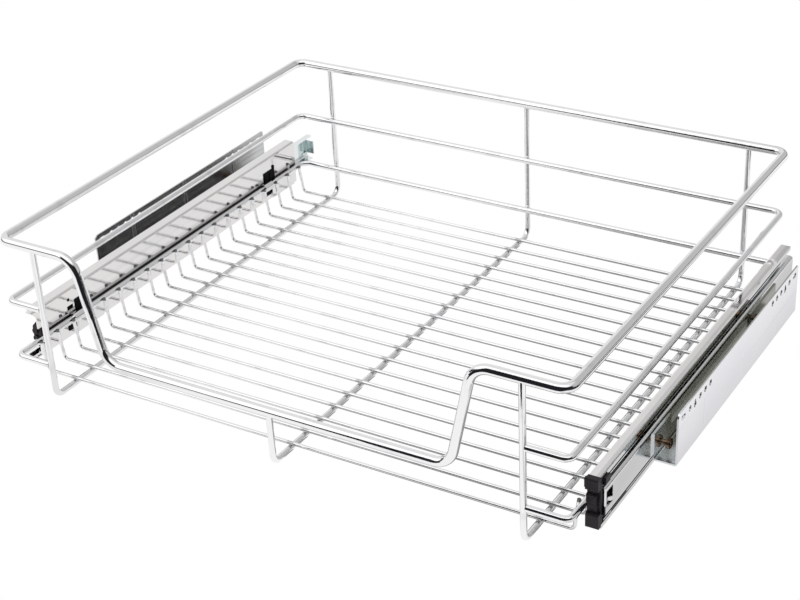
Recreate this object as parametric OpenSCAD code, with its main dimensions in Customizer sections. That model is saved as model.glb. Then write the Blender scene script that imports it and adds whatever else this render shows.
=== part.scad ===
// Pull-out cabinet basket: welded wire basket on two ball-bearing slides
// with spacer brackets. Millimetres, +Z up, front towards -Y.
// Origin: middle of the outline, on the surface the runner wires rest on.

/* [Basket] */
// width over the wires of the basket
basket_w = 514.8; // [470:0.2:620]
// depth over the wires of the basket
basket_d = 438; // [420:1:520]
// height over the wires of the basket
basket_h = 143.4; // [136:0.2:180]
// wire of the top rim
rim_wire = 8; // [7:0.1:9]
// wire of the two rails
rail_wire = 5.6; // [5:0.1:6]
// wire of the three runners
runner_wire = 5.2; // [4.8:0.1:5.6]
// wire of the floor
floor_wire_d = 3; // [2.6:0.1:3.4]
// height of the wire across the dropped front
front_low_z = 48.6; // [46:0.2:60]
// high part of the front rim, each side
front_side = 74.5; // [70:0.5:90]
// sideways lean of the slopes of the dropped front
front_lean = 20.6; // [12:0.2:26]
// height of the middle rail
mid_rail_z = 83.8; // [78:0.2:92]
// height of the lower rail
low_rail_z = 31.9; // [30:0.1:34]

/* [Slides] */
// height of each slide
slide_h = 45; // [43:0.5:48]
// thickness of each slide
slide_w = 12.7; // [12.6:0.1:13.6]
// sheet of the slide members
sheet = 1.2; // [1:0.1:1.3]
// ball of the slides
ball_d = 3.6; // [3.3:0.1:3.8]
// pull-out travel the cages leave room for
travel = 350; // [280:5:350]
// how far the slides stand out behind the basket
slide_tail = 20; // [16:1:30]
// how far the left cabinet member and bracket stand behind the right ones
left_set = 38; // [0:1:45]

/* [Brackets] */
// length of each spacer bracket
bracket_l = 261; // [230:1:270]
// height of each spacer bracket
bracket_h = 45.6; // [42:0.2:50]
// width of each spacer bracket
bracket_w = 20.2; // [18:0.2:30]
// sheet of the spacer brackets
bracket_t = 1.5; // [1.2:0.1:1.8]

/* [Hidden] */
$fn = 48;
steel = "Gainsboro";
zinc = "LightSteelBlue";
black = "#202020";
brass = "Goldenrod";

// welds and fits
weld = 0.15;
cope = 0.05;
fit = 0.1;
seat = 0.01;
run = 0.3;
ball_play = 0.04;
hair = 0.0125;
reach = 0.2;

// basket
floor_count = 20;
y0 = -(basket_d + slide_tail) / 2;
flush_x = basket_w / 2;
rim_bend_front = 10;
rim_bend_back = 10;
drop_bend = 18;
rim_x = flush_x - rim_wire / 2;
rim_z = basket_h - rim_wire / 2;
rim_ya = y0 + rim_wire / 2;
rim_yb = y0 + basket_d - rim_wire / 2;
drop_x = rim_x - front_side;
low_x = drop_x - front_lean;

runner_inset = 39;
runner_bend = 10.6;
runner_x = flush_x - runner_inset;
runner_z = runner_wire / 2;
runner_ya = y0 + runner_wire / 2;
runner_yb = y0 + basket_d - runner_wire / 2;
runner_tip = 1.5;

rail_bend_front = 6.5;
rail_bend_back = 9;
rail_tip = 1.2;
rail_x = flush_x - rail_wire / 2;
rail_ya = y0 + rail_wire / 2;
rail_yb = y0 + basket_d - runner_wire - rail_wire / 2 + weld;

floor_z = runner_wire + floor_wire_d / 2 - cope * 2;
floor_bend = 6;
floor_lean = 8;
floor_tip = 2.5;
floor_front = 26.8;
floor_back = 22.8;
floor_pitch = (basket_d - floor_front - floor_back) / (floor_count - 1);
floor_gap = (rail_wire + floor_wire_d) / 2 - weld;
floor_qx = rail_x - floor_gap * cos(floor_lean);
floor_qz = low_rail_z + floor_gap * sin(floor_lean);
floor_corner_x = snap(floor_qx - (floor_qz - floor_z) * tan(floor_lean));
floor_tip_z = low_rail_z + floor_tip;
floor_tip_x = floor_corner_x + (floor_tip_z - floor_z) * tan(floor_lean);

// slides, u measured outwards from the inner face of the drawer member
slide_gap = 0.4;
slide_x = flush_x + slide_gap;
slide_z = low_rail_z + 4.2;
cage_t = 0.6;
bend_r = 2;
half_drawer = slide_h / 2;
half_outer = half_drawer - sheet - ball_d / 2;
half_middle = half_drawer - sheet - ball_d;
half_inner = half_middle - sheet - ball_d / 2;
half_cabinet = half_middle - sheet - ball_d;
u_cage_outer = sheet + run;
u_middle = u_cage_outer + cage_t + run;
u_cage_inner = u_middle + sheet + run;
u_cabinet = u_cage_inner + cage_t * 2;
u_lip = slide_w - 2.5;
u_flange = slide_w - 2.4;
u_ball_outer = (sheet + u_lip) / 2 - 0.1;
u_ball_inner = u_cage_inner + 3;
cage_outer_w = 6.5;
cage_inner_w = 5.5;
cage_r = 0.9;
cage_end = 8;
cage_margin = 3.5;
cage_keep = 3;
balls = 8;

lip_h = 3.5;
stop_l = 6.5;
stop_h = 4;
stop_drop = 3.1;
stop_out = 0.4;
v_drawer_a = 26.5;
v_drawer_b = basket_d - 19;
v_middle_right = 31;
v_middle_left = 43;
v_middle_b = basket_d - 27;
v_cabinet_a = 29;
v_cabinet_b = basket_d + slide_tail - left_set;
web_hole_set = 11;
web_hole_z = -1;
web_hole_d = 5;

// stepped front of the left drawer member, and its cap
step_v = 6.2;
notch_v = 12;
notch_deep_v = 14;
notch_z = [-12, 0, 4.4];
chamfer_z = 15.3;
cap_in_l = 5;
cap_in_z = [-16, 9];
cap_in_chamfer = [5.2, 6.3];
cap_lobes = [6, -1, -8];
cap_lobe_d = 5.6;

// windows, tongue, pocket and tab of the cabinet members
cabinet_bend = 3;
front_window = [1.5, 12];
front_window_z = [-5.5, 8.5];
tongue_z = -4.8;
tongue_h = 3.5;
tongue_l = 6;
tongue_out = 1.6;
pocket_v = [2.5, 12.5];
pocket_half = 6;
pocket_deep = 1;
tab_z = [-6.8, 6.5];
tab_u = 3;

// plates between basket and slides, each with an ear rolled round the low rail
plate_t = 1.6;
plate_h = 14.6;
plate_z = low_rail_z - rail_wire / 2 + 0.5 - plate_h;
plate_front_v = 77;
plate_front_l = 35;
plate_rear_l = 38;
plate_rear_set = 25;
plate_front = [plate_front_v, plate_front_v + plate_front_l];
plate_rear = [basket_d - plate_rear_set - plate_rear_l, basket_d - plate_rear_set];
ear_l = 13;
ear_d = rail_wire + 2 * plate_t;
ear_front_v = floor_front + 2.5 * floor_pitch;
ear_rear_v = floor_front + 16.5 * floor_pitch;
neck_h = 4;

// clips in the webs of the drawer members: start, length, lowest, highest
clip_t = 0.9;
clip_rim = 0.8;
clip_back = 0.7;
clip_rear_set = 73.5;
clip_front = [80, 17, -3, 9.5];
clip_rear = [basket_d - clip_rear_set, 17.3, -3.5, 8.8];
clip_ridge = 0.5;
clip_tab_l = 2.5;
clip_tab_h = 3.4;
foot_front = [68, 8.7, -15.6, -11.6];
foot_rear = [basket_d - clip_rear_set - 0.5, 10.2, -16, -10.8];
backing_l = 12;
eye_v = 72.5;
eye_z = 12.6;
eye_d = 3;
eye_slot = [69.8, 7.4, 3, 7];

// end caps
cap_w = slide_w - 2.3;
cap_plate = 1.7;
cap_low = 20.5;
cap_waist = 12;
cap_waist_u = 8;
cap_plug = 2.3;
cap_hook = 8;
cap_top = [12.5, half_drawer, 4.7];
cap_mid = [0, 8, 2.7];
cap_bottom = [-cap_low, -8.5, 3.9];
cap_r = 1.2;

// spacer brackets
bracket_x = slide_x + slide_w;
bracket_z = slide_z - 14.5;
bracket_lip = 23.4;
bracket_low_lip = 14.5;
low_lip_v = [32, 60];
bracket_r = 2.6;
corner_front = 4;
corner_rear = 1.2;
right_bracket_v = 112;
left_bracket_v = right_bracket_v + left_set;
screw_front = 10;
screw_rear = 46;
screw_z = slide_z - 2.6;
screw_d = 3.9;
screw_grip = 2;
head_d = 8.6;
head_h = 2.8;
head_off = 6.3;
crown_h = 0.6;
cross_l = 4.4;
cross_w = 1;
collar_d = 9.6;
collar_h = 0.9;
row_pitch = 10.2;
row_first = 41.8;
slot_v = 9;
slot_l = 8;
slot_h = 4;
round_v = 21.7;
key_v = 31.8;
key_drop = 2.2;
row_drop = 6;
hole_d = 5;
crease_d = 1.8;
crease_top = 14;
crease_v = [52, bracket_l / 2, bracket_l - 54];

function unit(v) = v / norm(v);
function turn(u, w) = acos(max(-1, min(1, u * w)));
function place(ex, ey, ez, p) = [
    [ex.x, ey.x, ez.x, p.x],
    [ex.y, ey.y, ez.y, p.y],
    [ex.z, ey.z, ez.z, p.z],
    [0, 0, 0, 1]
];
function axial(v) = max(abs(v.x), abs(v.y), abs(v.z)) > 0.999999;
function snap(v) = round(v * 1000) / 1000;
function two(i) = str(i < 10 ? "0" : "", i);

module rod(p, q, d) {
    ez = unit(q - p);
    side = abs(ez.z) < 0.7 ? [0, 0, 1] : [0, 1, 0];
    ex = unit(cross(side, ez));
    multmatrix(place(ex, cross(ez, ex), ez, p))
        cylinder(h = norm(q - p), d = d);
}

// bend of radius r at point p, from direction u to direction w
module elbow(p, u, w, r, d, cut) {
    flip = !axial(u) && axial(w);
    s = flip ? -w : u;
    e = flip ? -u : w;
    n = unit(e - (e * s) * s);
    multmatrix(place(-n, s, cross(-n, s), p - s * cut + n * r))
        rotate_extrude(angle = turn(s, e))
            translate([r, 0])
                circle(d = d);
}

// round wire along points, with a bend radius at each inner point;
// a slanting stretch is a hair thicker and reaches into its bends
module wire(pts, radii, d) {
    n = len(pts);
    dirs = [for (i = [0:n - 2]) unit(pts[i + 1] - pts[i])];
    cut = [for (i = [0:n - 1])
        i == 0 || i == n - 1 ? 0 : snap(radii[i] * tan(turn(dirs[i - 1], dirs[i]) / 2))];
    for (i = [0:n - 2]) {
        slant = axial(dirs[i]) ? 0 : 1;
        head = cut[i] - (i > 0 ? slant * reach : 0);
        tail = cut[i + 1] - (i < n - 2 ? slant * reach : 0);
        rod(pts[i] + dirs[i] * head, pts[i + 1] - dirs[i] * tail, d * (1 + slant * hair));
    }
    for (i = [1:n - 2])
        elbow(pts[i], dirs[i - 1], dirs[i], radii[i], d, cut[i]);
}

// sheet channel along Y: web at u 0, opening towards +u
module cee(w, h, t, r) {
    difference() {
        cee_solid(w, h, r);
        translate([t, 0])
            cee_solid(w, h - 2 * t, max(r - t, 0.3));
    }
}

module cee_solid(w, h, r) {
    translate([r, -h / 2])
        square([w - r, h]);
    translate([0, r - h / 2])
        square([2 * r, h - 2 * r]);
    for (s = [-1, 1])
        translate([r, s * (h / 2 - r)])
            circle(r = r);
}

module along_y(va, vb) {
    translate([0, y0 + vb, 0])
        rotate([90, 0, 0])
            linear_extrude(height = vb - va)
                children();
}

module slide_at(u) {
    translate([slide_x + u, 0, slide_z])
        children();
}

// cylinder along X from xa to xb
module pin_x(xa, xb, y, z, d) {
    translate([xa, y, z])
        rotate([0, 90, 0])
            cylinder(h = xb - xa, d = d);
}

module box(xa, ya, za, xb, yb, zb) {
    translate([xa, ya, za])
        cube([xb - xa, yb - ya, zb - za]);
}

// ---- wires of the basket ----

module top_rim() {
    color(steel)
        wire([
            [0, rim_yb, rim_z],
            [rim_x, rim_yb, rim_z],
            [rim_x, rim_ya, rim_z],
            [drop_x, rim_ya, rim_z],
            [low_x, rim_ya, front_low_z],
            [-low_x, rim_ya, front_low_z],
            [-drop_x, rim_ya, rim_z],
            [-rim_x, rim_ya, rim_z],
            [-rim_x, rim_yb, rim_z],
            [0, rim_yb, rim_z]
        ], [
            0, rim_bend_back, rim_bend_front, drop_bend, drop_bend,
            drop_bend, drop_bend, rim_bend_front, rim_bend_back, 0
        ], rim_wire);
}

module rail(z) {
    end_x = runner_x + rail_tip;
    color(steel)
        difference() {
            wire([
                [end_x, rail_ya, z],
                [rail_x, rail_ya, z],
                [rail_x, rail_yb, z],
                [-rail_x, rail_yb, z],
                [-rail_x, rail_ya, z],
                [-end_x, rail_ya, z]
            ], [
                0, rail_bend_front, rail_bend_back,
                rail_bend_back, rail_bend_front, 0
            ], rail_wire);
            for (s = [-1, 1])
                translate([s * runner_x, runner_ya, z - rail_wire])
                    cylinder(h = 2 * rail_wire, d = runner_wire - 2 * cope);
        }
}

module mid_rail() {
    rail(mid_rail_z);
}

module low_rail() {
    rail(low_rail_z);
}

module runner(x, front_z) {
    color(steel)
        difference() {
            wire([
                [x, runner_ya, front_z - runner_tip],
                [x, runner_ya, runner_z],
                [x, runner_yb, runner_z],
                [x, runner_yb, rim_z - runner_tip]
            ], [0, runner_bend, runner_bend, 0], runner_wire);
            pin_x(x - rim_wire, x + rim_wire, rim_ya, front_z, rim_wire - 2 * cope);
            pin_x(x - rim_wire, x + rim_wire, rim_yb, rim_z, rim_wire - 2 * cope);
        }
}

module left_runner() {
    runner(-runner_x, rim_z);
}

module centre_runner() {
    runner(0, front_low_z);
}

module right_runner() {
    runner(runner_x, rim_z);
}

module floor_wire(i) {
    y = snap(y0 + floor_front + (i - 1) * floor_pitch);
    color(steel)
        wire([
            [-floor_tip_x, y, floor_tip_z],
            [-floor_corner_x, y, floor_z],
            [floor_corner_x, y, floor_z],
            [floor_tip_x, y, floor_tip_z]
        ], [0, floor_bend, floor_bend, 0], floor_wire_d);
}

// ---- plates and clips ----

module plate(v, ear_v) {
    xa = slide_x - plate_t;
    ya = min(v[0], ear_v - ear_l / 2);
    color(steel)
        difference() {
            union() {
                box(xa, y0 + v[0], plate_z, slide_x, y0 + v[1], plate_z + plate_h);
                box(xa, y0 + ya, plate_z + plate_h - neck_h, slide_x, y0 + v[0] + 1, plate_z + plate_h);
                rail_ring(ear_v - ear_l / 2, ear_v + ear_l / 2, ear_d);
            }
            rail_ring(0, basket_d, rail_wire + 2 * seat);
            box(slide_x, y0, 0, slide_x + ear_d, y0 + basket_d, basket_h);
        }
}

// cylinder round the right arm of the low rail
module rail_ring(va, vb, d) {
    translate([rail_x, y0 + va, low_rail_z])
        rotate([-90, 0, 0])
            cylinder(h = vb - va, d = d);
}

module right_front_plate() {
    plate(plate_front, ear_front_v);
}

module right_rear_plate() {
    plate(plate_rear, ear_rear_v);
}

module left_front_plate() {
    mirror([1, 0, 0])
        plate(plate_front, ear_front_v);
}

module left_rear_plate() {
    mirror([1, 0, 0])
        plate(plate_rear, ear_rear_v);
}

// frame and plug of a clip in its window, clear of the low rail and of the plates' ears
module clip(c) {
    xa = slide_x - clip_t;
    mid = c[0] + c[1] / 2;
    difference() {
        union() {
            web_box(c, xa, slide_x);
            web_box([mid - clip_ridge / 2, clip_ridge, c[2], c[3]], xa - clip_ridge, slide_x);
            web_box(inset(c, clip_rim + fit), slide_x - 0.3, slide_x + sheet - fit);
        }
        rail_ring(0, basket_d, rail_wire + 2 * fit);
        for (v = [ear_front_v, ear_rear_v])
            rail_ring(v - ear_l / 2 - fit, v + ear_l / 2 + fit, ear_d + 2 * fit);
    }
}

// place on the web of a drawer member, made smaller all round
function inset(c, e) = [c[0] + e, c[1] - 2 * e, c[2] + e, c[3] - e];

module web_box(c, xa, xb) {
    box(xa, y0 + c[0], slide_z + c[2], xb, y0 + c[0] + c[1], slide_z + c[3]);
}

module front_clip() {
    c = clip_front;
    xb = slide_x + sheet + fit;
    color(black) {
        clip(c);
        web_box(inset(c, clip_rim + fit), slide_x, xb + 0.1);
        web_box([c[0] - backing_l, c[1] + backing_l, c[2] - 0.5, eye_z + 1.9], xb, xb + clip_back);
        web_box(foot_front, slide_x - clip_t, slide_x);
    }
}

module rear_clip() {
    c = clip_rear;
    color(black) {
        clip(c);
        web_box([c[0] + c[1] - clip_tab_l, clip_tab_l, c[3] - 0.5, c[3] + clip_tab_h],
            slide_x - clip_t, slide_x);
        web_box(foot_rear, slide_x - clip_t, slide_x);
    }
}

module right_front_clip() {
    front_clip();
}

module right_rear_clip() {
    rear_clip();
}

module left_front_clip() {
    mirror([1, 0, 0])
        front_clip();
}

module left_rear_clip() {
    mirror([1, 0, 0])
        rear_clip();
}

// ---- slides ----

module drawer_member() {
    color(zinc)
        difference() {
            slide_at(0)
                along_y(v_drawer_a, v_drawer_b) {
                    cee(u_lip, slide_h, sheet, bend_r);
                    for (s = [-1, 1])
                        translate([u_lip - sheet, s * (half_drawer - lip_h / 2) - lip_h / 2])
                            square([sheet, lip_h]);
                }
            for (c = [clip_front, clip_rear])
                web_box(inset(c, clip_rim), slide_x - 1, slide_x + sheet + 1);
            web_box(eye_slot, slide_x - 1, slide_x + sheet + 1);
            pin_x(slide_x - 1, slide_x + sheet + 1, y0 + eye_v, slide_z + eye_z, eye_d);
            pin_x(slide_x - 1, slide_x + sheet + 1, y0 + v_drawer_b - web_hole_set,
                slide_z + web_hole_z, web_hole_d);
        }
}

// what is cut from the web and flange at the front of the left drawer member
module stepped_front() {
    va = v_drawer_a;
    h = half_drawer;
    translate([slide_x - 1, y0, slide_z])
        rotate([90, 0, 90])
            linear_extrude(height = sheet + 1.5)
                polygon([
                    [va - 1, -h - 1], [va + step_v, -h - 1], [va + step_v, notch_z[0]],
                    [va + notch_v, notch_z[0]], [va + notch_v, notch_z[1]],
                    [va + notch_deep_v, notch_z[1]], [va + notch_deep_v, notch_z[2]],
                    [va + step_v, notch_z[2]], [va + step_v, chamfer_z], [va, h], [va - 1, h + 1]
                ]);
    box(slide_x + cap_in_chamfer[0], y0 + va - 1, slide_z + half_drawer - sheet - 0.5,
        slide_x + slide_w, y0 + va + step_v, slide_z + half_drawer + 1);
    box(slide_x + cap_in_chamfer[0], y0 + va - 1, slide_z + half_drawer - lip_h - 1,
        slide_x + slide_w, y0 + va + step_v, slide_z + half_drawer - sheet);
}

module middle_member(va) {
    color(zinc)
        slide_at(u_middle)
            along_y(va, v_middle_b)
                cee(u_flange - u_middle, 2 * half_middle, sheet, bend_r);
}

// set: how far this member stands behind the right one
module cabinet_member(set, bracket_v) {
    va = v_cabinet_a + set;
    vb = v_cabinet_b + set;
    xw = slide_x + slide_w;
    color(zinc) {
        difference() {
            slide_at(slide_w)
                along_y(va, vb)
                    mirror([1, 0])
                        cee(slide_w - u_cabinet, 2 * half_cabinet, sheet, cabinet_bend);
            box(xw - sheet - 1, y0 + va + front_window[0], slide_z + front_window_z[0],
                xw + 1, y0 + va + front_window[1], slide_z + front_window_z[1]);
            pocket(xw - sheet, y0 + vb);
            for (v = [screw_front, bracket_l - screw_rear])
                pin_x(xw - sheet - 1, xw + 1, y0 + bracket_v + v, screw_z, screw_d + 2 * fit);
        }
        box(slide_x + tab_u, y0 + vb - sheet, slide_z + tab_z[0],
            xw - sheet / 2, y0 + vb, slide_z + tab_z[1]);
        tongue(xw, y0 + va + front_window[1]);
    }
}

// wedge pressed into the inner face of a cabinet member at its rear end
module pocket(x, y) {
    translate([x, y, slide_z - pocket_half])
        linear_extrude(height = 2 * pocket_half)
            polygon([
                [-1, -pocket_v[1]], [0, -pocket_v[1]], [pocket_deep, -pocket_v[0]], [-1, -pocket_v[0]]
            ]);
}

// lanced tongue standing in the front window of a cabinet member
module tongue(x, y) {
    translate([x, y, slide_z + tongue_z])
        linear_extrude(height = tongue_h)
            polygon([
                [0, 0.5], [-sheet, 0.5], [-sheet, -0.6],
                [-sheet - tongue_out, 3 - tongue_l], [-sheet - tongue_out, -tongue_l],
                [-sheet - tongue_out + 0.9, -tongue_l], [-sheet - tongue_out + 0.9, 2.6 - tongue_l], [0, -0.9]
            ]);
}

module cage(u, half, w, va, vb, ub) {
    h = 2 * half + cage_t;
    pitch = (vb - va - 2 * cage_end) / (balls - 1);
    color(zinc)
        difference() {
            slide_at(u)
                along_y(va, vb)
                    cee(w, h, cage_t, cage_r);
            for (i = [0:balls - 1])
                translate([slide_x + ub, y0 + va + cage_end + i * pitch, slide_z - half - 1])
                    cylinder(h = 2 * half + 2, d = ball_d + 2 * fit);
        }
}

module ball_rows(half, va, vb, ub) {
    pitch = (vb - va - 2 * cage_end) / (balls - 1);
    color(steel)
        for (i = [0:balls - 1], s = [-1, 1])
            translate([slide_x + ub, y0 + va + cage_end + i * pitch, slide_z + s * half])
                sphere(d = ball_d - 2 * ball_play);
}

// the cages reach as far as the travel of the members beside them allows
function outer_a(middle_a) = middle_a + stop_l + travel / 4 + cage_margin;
function outer_b() = v_drawer_b - cage_keep - travel / 4 - cage_margin;
function inner_a(set) = v_cabinet_a + set + travel / 4 + cage_margin + 1;
function inner_b() = v_middle_b - cage_keep - travel / 4 - cage_margin;

module outer_cage(middle_a) {
    cage(u_cage_outer, half_outer, cage_outer_w, outer_a(middle_a), outer_b(), u_ball_outer);
}

module inner_cage(set) {
    cage(u_cage_inner, half_inner, cage_inner_w, inner_a(set), inner_b(), u_ball_inner);
}

module outer_balls(middle_a) {
    ball_rows(half_outer, outer_a(middle_a), outer_b(), u_ball_outer);
}

module inner_balls(set) {
    ball_rows(half_inner, inner_a(set), inner_b(), u_ball_inner);
}

// small block on the front end of an intermediate member
module middle_stop(va) {
    xb = slide_x + slide_w - stop_out;
    z = slide_z + half_middle - stop_drop;
    color(black) {
        box(slide_x + u_flange, y0 + va - 1, z, xb, y0 + va + stop_l, z + stop_h);
        box(slide_x + u_lip + run, y0 + va - 1, z + stop_h, xb, y0 + va + stop_l, z + stop_h + 1.9);
    }
}

// block of an end cap: lowest, highest and how far it stands before the plate
module cap_block(c, w) {
    yb = y0 + v_drawer_a - cap_plate;
    translate([slide_x, 0, slide_z])
        rotate([90, 0, 90])
            linear_extrude(height = w) {
                translate([yb + cap_plate / 2 - c[2] + cap_r, c[0]])
                    square([c[2] - cap_r, c[1] - c[0]]);
                translate([yb + cap_plate / 2 - c[2], c[0] + cap_r])
                    square([2 * cap_r, c[1] - c[0] - 2 * cap_r]);
                for (z = [c[0] + cap_r, c[1] - cap_r])
                    translate([yb + cap_plate / 2 - c[2] + cap_r, z])
                        circle(r = cap_r);
            }
}

// bumper closing the front of the right drawer member
module end_cap() {
    yb = y0 + v_drawer_a;
    ya = yb - cap_plate;
    u_plug = slide_x + sheet + fit;
    color(black) {
        difference() {
            box(slide_x, ya, slide_z - cap_low, slide_x + cap_w, yb, slide_z + half_drawer);
            box(slide_x + cap_waist_u, ya - 1, slide_z - cap_waist,
                slide_x + cap_w + 1, yb + 1, slide_z + cap_waist);
        }
        cap_block(cap_top, cap_w);
        cap_block(cap_mid, cap_waist_u);
        cap_block(cap_bottom, cap_w);
        box(slide_x - 1, ya - cap_top[2] + cap_plate, slide_z + cap_top[0] + cap_plate,
            slide_x + 0.5, ya, slide_z + half_drawer - 0.5);
        box(u_plug, yb - 0.5, slide_z - half_middle,
            slide_x + cap_w - 0.2, yb + cap_plug, slide_z + half_middle);
        box(u_plug + 0.6, yb - 0.5, slide_z - half_drawer + sheet + 2 * fit,
            slide_x + u_lip - sheet - 2 * fit, yb + 7.5, slide_z - half_middle - 0.5);
        box(slide_x - 1, ya, slide_z - half_drawer, slide_x, yb + cap_hook, slide_z - 9);
        box(slide_x - 1, ya, slide_z - half_drawer, slide_x + 1, yb, slide_z - 9);
    }
}

// lobed stop that sits inside the stepped front of the left drawer member
module inner_cap() {
    ya = y0 + v_drawer_a + notch_deep_v - 4;
    ua = slide_x + sheet + fit;
    ub = slide_x + cap_w - 0.2;
    color(black) {
        difference() {
            box(ua, ya, slide_z + cap_in_z[0], ub, ya + cap_in_l, slide_z + cap_in_z[1]);
            translate([ub - cap_in_chamfer[0], ya - 1, slide_z + cap_in_z[1]])
                rotate([0, atan2(cap_in_chamfer[1], cap_in_chamfer[0]), 0])
                    cube([2 * slide_w, cap_in_l + 2, slide_w]);
        }
        for (z = cap_lobes)
            translate([ub - cap_lobe_d / 2 - (z > 0 ? 1.6 : 0), ya + 1, slide_z + z - (z > 0 ? 2.4 : 0)])
                rotate([90, 0, 0])
                    cylinder(h = 2.2, d = cap_lobe_d);
        box(slide_x, ya + 1.9, slide_z + notch_z[1] + fit, ua + 0.5,
            y0 + v_drawer_a + notch_deep_v - fit, slide_z + notch_z[2] - fit);
    }
}

module right_drawer_member() {
    drawer_member();
}

module left_drawer_member() {
    mirror([1, 0, 0])
        color(zinc)
            difference() {
                drawer_member();
                stepped_front();
            }
}

module right_intermediate_member() {
    middle_member(v_middle_right);
}

module left_intermediate_member() {
    mirror([1, 0, 0])
        middle_member(v_middle_left);
}

module right_cabinet_member() {
    cabinet_member(0, right_bracket_v);
}

module left_cabinet_member() {
    mirror([1, 0, 0])
        cabinet_member(left_set, left_bracket_v);
}

module right_outer_ball_cage() {
    outer_cage(v_middle_right);
}

module left_outer_ball_cage() {
    mirror([1, 0, 0])
        outer_cage(v_middle_left);
}

module right_inner_ball_cage() {
    inner_cage(0);
}

module left_inner_ball_cage() {
    mirror([1, 0, 0])
        inner_cage(left_set);
}

module right_outer_balls() {
    outer_balls(v_middle_right);
}

module left_outer_balls() {
    mirror([1, 0, 0])
        outer_balls(v_middle_left);
}

module right_inner_balls() {
    inner_balls(0);
}

module left_inner_balls() {
    mirror([1, 0, 0])
        inner_balls(left_set);
}

module right_end_cap() {
    end_cap();
}

module left_end_cap() {
    mirror([1, 0, 0])
        inner_cap();
}

module right_intermediate_stop() {
    middle_stop(v_middle_right);
}

module left_intermediate_stop() {
    mirror([1, 0, 0])
        middle_stop(v_middle_left);
}

// ---- spacer brackets ----

module bracket_profile() {
    difference() {
        bracket_outline(bracket_w, bracket_h, bracket_r);
        translate([bracket_t, bracket_t])
            bracket_outline(bracket_w - 2 * bracket_t, bracket_h, bracket_r - bracket_t);
        translate([-1, bracket_lip])
            square([bracket_w / 2, bracket_h]);
    }
}

module bracket_outline(w, h, r) {
    translate([0, r])
        square([w, h - r]);
    translate([r, 0])
        square([w - 2 * r, 2 * r]);
    for (x = [r, w - r])
        translate([x, r])
            circle(r = r);
}

module bracket_corner_cut(v, side, c) {
    xa = bracket_x + bracket_w - bracket_t - 1;
    z = bracket_z + bracket_h - c;
    difference() {
        translate([xa, y0 + v - (side < 0 ? 1 : c), z])
            cube([bracket_t + 2, c + 1, c + 1]);
        pin_x(xa - 1, xa + bracket_t + 3, y0 + v - side * c, z, 2 * c);
    }
}

// holes along the top of a bracket, measured in from one end
module bracket_holes(v, dir) {
    xa = bracket_x + bracket_w - bracket_t - 1;
    xb = bracket_x + bracket_w + 1;
    z = bracket_z + bracket_h - row_drop;
    y = y0 + v;
    key_w = hole_d / 2;
    half_slot = (slot_l - slot_h) / 2;
    for (s = [-1, 1])
        pin_x(xa, xb, y + dir * slot_v + s * half_slot, z, slot_h);
    box(xa, y + dir * slot_v - half_slot, z - slot_h / 2, xb, y + dir * slot_v + half_slot, z + slot_h / 2);
    pin_x(xa, xb, y + dir * round_v, z, hole_d);
    pin_x(xa, xb, y + dir * key_v, z - key_drop, hole_d);
    pin_x(xa, xb, y + dir * key_v, z + key_w / 2, key_w);
    box(xa, y + dir * key_v - key_w / 2, z - key_drop, xb, y + dir * key_v + key_w / 2, z + key_w / 2);
    for (i = [0:2])
        pin_x(xa, xb, y + dir * (row_first + i * row_pitch), z, hole_d);
}

module bracket(v) {
    xo = bracket_x + bracket_w;
    crease_h = bracket_h - bracket_r - crease_top;
    color(steel)
        difference() {
            union() {
                translate([bracket_x, 0, bracket_z])
                    along_y(v, v + bracket_l)
                        bracket_profile();
                for (c = crease_v)
                    translate([xo - bracket_t + 0.3, y0 + v + c, bracket_z + bracket_r])
                        cylinder(h = crease_h, d = crease_d - 0.2);
            }
            for (c = crease_v) {
                translate([xo + 0.3, y0 + v + c, bracket_z - 1])
                    cylinder(h = crease_h + bracket_r + 1, d = crease_d);
                pin_x(xo - bracket_r, xo + 1, y0 + v + c, bracket_z, crease_d + 0.6);
            }
            box(bracket_x - 1, y0 + v + low_lip_v[0], bracket_z + bracket_low_lip,
                bracket_x + bracket_t + 1, y0 + v + bracket_l - low_lip_v[1], bracket_z + bracket_h);
            bracket_corner_cut(v, -1, corner_front);
            bracket_corner_cut(v + bracket_l, 1, corner_rear);
            bracket_holes(v, 1);
            bracket_holes(v + bracket_l, -1);
            for (s = [screw_front, bracket_l - screw_rear])
                pin_x(bracket_x - 1, bracket_x + bracket_t + 1, y0 + v + s, screw_z, screw_d + 2 * fit);
        }
}

// pan-head screw along X with a cross recess, its head standing off, and a collar on the wall
module screw(y) {
    xa = bracket_x + bracket_t;
    xh = xa + head_off;
    color(brass)
        difference() {
            union() {
                pin_x(bracket_x - sheet - screw_grip, xh + 0.5, y, screw_z, screw_d);
                pin_x(xa, xa + collar_h, y, screw_z, collar_d);
                pin_x(xh, xh + head_h, y, screw_z, head_d);
                pin_x(xh + head_h - 0.2, xh + head_h + crown_h, y, screw_z, head_d - 2.4);
            }
            for (a = [0, 90])
                translate([xh + head_h - 0.8, y, screw_z])
                    rotate([a, 0, 0])
                        translate([0, -cross_l / 2, -cross_w / 2])
                            cube([head_h, cross_l, cross_w]);
        }
}

module bracket_screws(v) {
    for (s = [screw_front, bracket_l - screw_rear])
        screw(y0 + v + s);
}

module right_bracket() {
    bracket(right_bracket_v);
}

module left_bracket() {
    mirror([1, 0, 0])
        bracket(left_bracket_v);
}

module right_bracket_screws() {
    bracket_screws(right_bracket_v);
}

module left_bracket_screws() {
    mirror([1, 0, 0])
        bracket_screws(left_bracket_v);
}

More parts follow.
